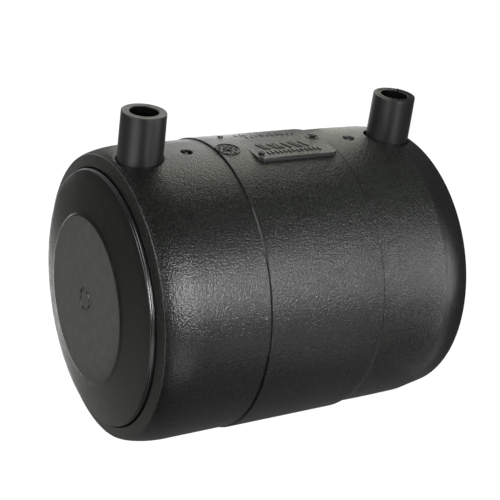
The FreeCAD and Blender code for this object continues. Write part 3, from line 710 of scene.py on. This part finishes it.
def studio_floor():
    """Wide pale plane under the mouth's rim. It keeps a faint shadow and otherwise shows white to the
    camera, and glossy rays see it as a dim even grey."""
    half = FLOOR_HALF * MM
    mesh = bpy.data.meshes.new("studio_floor")
    corners = [(-half, -half, 0), (half, -half, 0), (half, half, 0), (-half, half, 0)]
    mesh.from_pydata(corners, [], [(0, 1, 2, 3)])
    plane = bpy.data.objects.new("studio_floor", mesh)
    bpy.context.scene.collection.objects.link(plane)
    paint = bpy.data.materials.new("pale_floor")
    paint.use_nodes = True
    nodes, links = paint.node_tree.nodes, paint.node_tree.links
    nodes.clear()
    matt = nodes.new("ShaderNodeBsdfDiffuse")
    matt.inputs["Color"].default_value = (0.12, 0.12, 0.12, 1)
    glow = nodes.new("ShaderNodeEmission")
    both = nodes.new("ShaderNodeAddShader")
    out = nodes.new("ShaderNodeOutputMaterial")
    path = nodes.new("ShaderNodeLightPath")
    seen = straight_rays(nodes, links, path)
    links.new(sums(nodes, links, "MULTIPLY", seen, 0.97), glow.inputs["Strength"])
    links.new(matt.outputs[0], both.inputs[0])
    links.new(glow.outputs[0], both.inputs[1])
    mirrored = nodes.new("ShaderNodeEmission")
    mirrored.inputs["Strength"].default_value = 0.17
    swap = nodes.new("ShaderNodeMixShader")
    links.new(path.outputs["Is Glossy Ray"], swap.inputs["Fac"])
    links.new(both.outputs[0], swap.inputs[1])
    links.new(mirrored.outputs[0], swap.inputs[2])
    links.new(swap.outputs[0], out.inputs["Surface"])
    mesh.materials.append(paint)


def studio_world():
    """White to the camera. To the object, a dim room with one wide pale side beyond the closed end."""
    world = bpy.data.worlds.new("studio")
    bpy.context.scene.world = world
    world.use_nodes = True
    nodes, links = world.node_tree.nodes, world.node_tree.links
    nodes.clear()
    look = nodes.new("ShaderNodeTexCoord").outputs["Generated"]
    facing = nodes.new("ShaderNodeVectorMath")
    facing.operation = "DOT_PRODUCT"
    turn, rise = math.radians(150), math.radians(20)
    facing.inputs[1].default_value = (math.cos(turn) * math.cos(rise), math.sin(turn) * math.cos(rise),
                                      math.sin(rise))
    links.new(look, facing.inputs[0])
    edge, core = math.cos(math.radians(50)), math.cos(math.radians(22))
    side = between(nodes, links, facing.outputs["Value"], edge, core, 0.03, 0.31)
    side.node.interpolation_type = "SMOOTHSTEP"
    room = nodes.new("ShaderNodeBackground")
    room.inputs["Color"].default_value = (0.97, 1.0, 0.89, 1)
    links.new(side, room.inputs["Strength"])
    white = nodes.new("ShaderNodeBackground")
    mix = nodes.new("ShaderNodeMixShader")
    out = nodes.new("ShaderNodeOutputWorld")
    path = nodes.new("ShaderNodeLightPath")
    links.new(straight_rays(nodes, links, path), mix.inputs["Fac"])
    links.new(room.outputs[0], mix.inputs[1])
    links.new(white.outputs[0], mix.inputs[2])
    links.new(mix.outputs[0], out.inputs["Surface"])


def placed(axes, centre):
    """Placement of an object from the directions of its own x, y and z and from its centre."""
    return Matrix([[*row, along] for row, along in zip(np.stack(axes, 1), centre)] + [[0, 0, 0, 1]])


def soft_lamp(name, centre, facing, size, glow, tint=(1, 1, 1), spin=0.0):
    """Flat lamp of size (width, height) at centre, turned to face a point; glow is its brightness."""
    lamp = bpy.data.lights.new(name, "AREA")
    lamp.shape = "RECTANGLE"
    lamp.size, lamp.size_y = size
    lamp.energy = glow * math.pi * size[0] * size[1]
    lamp.color = tint
    holder = bpy.data.objects.new(name, lamp)
    away = (np.asarray(centre) - np.asarray(facing)).astype(float)
    away /= np.linalg.norm(away)
    level = np.cross((0, 0, 1), away)
    level = np.array([1.0, 0, 0]) if np.linalg.norm(level) < 1e-6 else level / np.linalg.norm(level)
    upright = np.cross(away, level)
    level, upright = (level * math.cos(spin) + upright * math.sin(spin),
                      upright * math.cos(spin) - level * math.sin(spin))
    holder.matrix_world = placed((level, upright, away), centre)
    holder.visible_camera = False
    bpy.context.scene.collection.objects.link(holder)


def low_panel(name, azimuth, reach, width, glow, tint=(1, 1, 1)):
    """Lamp that lies on the floor and shines up, from one distance to another along an azimuth."""
    turn, middle = math.radians(azimuth), sum(reach) / 2
    x, y = middle * math.cos(turn), middle * math.sin(turn)
    size = (width, reach[1] - reach[0])
    soft_lamp(name, (x, y, 0.002), (x, y, 1.0), size, glow, tint, -(turn + math.pi / 2))


studio_floor()
studio_world()

PALE_GREEN, PALE_YELLOW, PALE_BLUE = (0.99, 1.0, 0.86), (0.99, 1.0, 0.9), (0.93, 0.98, 1.0)
low_panel("front_panel", -61, (0.11, 0.18), 0.038, 7.8)
low_panel("front_panel_left", -94, (0.09, 0.2), 0.12, 0.6)
low_panel("near_panel", -70, (0.05, 0.11), 0.024, 1.7)
low_panel("near_panel_wide", -80, (0.049, 0.11), 0.06, 0.12)
low_panel("foot_panel", -72, (0.0485, 0.055), 0.055, 1.7)
low_panel("foot_panel_left", -108, (0.0485, 0.052), 0.05, 0.4)
low_panel("foot_panel_side", 38, (0.0485, 0.055), 0.03, 1.6)
low_panel("side_panel_near", 30, (0.049, 0.11), 0.05, 1.2, PALE_GREEN)
low_panel("side_panel", 32, (0.11, 0.18), 0.06, 3.3, PALE_GREEN)
low_panel("side_panel_far", 32, (0.18, 0.3), 0.096, 1.3, PALE_GREEN)
low_panel("back_panel", 62, (0.11, 0.18), 0.07, 1.7)
low_panel("back_panel_deep", 60, (0.2, 0.45), 0.18, 1.7, PALE_YELLOW)
low_panel("back_panel_far", 95, (0.11, 0.18), 0.07, 3.4, PALE_BLUE)

FOOT, WAIST, TOP = (0, 0, 0.05), (0, 0, 0.08), (0, 0, 0.11)
front, front_reach = math.radians(-65), 0.42
strip_place = (front_reach * math.cos(front), front_reach * math.sin(front), 0.02)
soft_lamp("front_strip", strip_place, (0, 0, 0.07), (0.16, 0.06), 52.0)
soft_lamp("left_panel", (-0.19, 0.35, 0.05), (0, 0, 0.1), (0.2, 0.09), 0.95)
soft_lamp("ceiling_panel", (-0.31, -0.36, 0.72), (0.05, 0, 0.06), (0.5, 0.5), 2.4)
soft_lamp("wall_panel", (-0.15, -0.42, 0.06), (0.05, 0, 0.05), (0.2, 0.12), 2.2)
soft_lamp("disc_panel", (-0.38, 0.71, 0.52), TOP, (0.26, 0.26), 0.28, (0.97, 1.0, 0.88))
soft_lamp("rim_panel_back", (0.32, 0.76, 0.42), TOP, (0.46, 0.2), 1.8)
soft_lamp("rim_panel_low", (0.02, 0.6, 0.13), TOP, (0.35, 0.16), 1.2)
soft_lamp("rim_panel_corner", (0.45, 0.4, 0.45), TOP, (0.4, 0.25), 1.6)
soft_lamp("rim_panel_side", (0.6, -0.1, 0.84), TOP, (0.5, 0.4), 3.0)
soft_lamp("seam_panel", (0.36, 0.06, 0.92), WAIST, (0.28, 0.28), 8.0)
soft_lamp("top_softbox", (0.4, -0.4, 0.9), FOOT, (0.7, 0.7), 2.8)

camera = bpy.data.cameras.new("photo_camera")
camera.lens, camera.sensor_width = 89.29, 36
camera.clip_end = 20
eye = bpy.data.objects.new("photo_camera", camera)
eye_axes = ((0.12225, -0.482769, -0.867173), (0.89364, 0.433679, -0.115455), (0.431813, -0.760826, 0.484439))
eye.matrix_world = placed(eye_axes, (0.186722, -0.31177, 0.255141))
bpy.context.scene.collection.objects.link(eye)
bpy.context.scene.camera = eye
bpy.context.scene.view_settings.view_transform = "Standard"
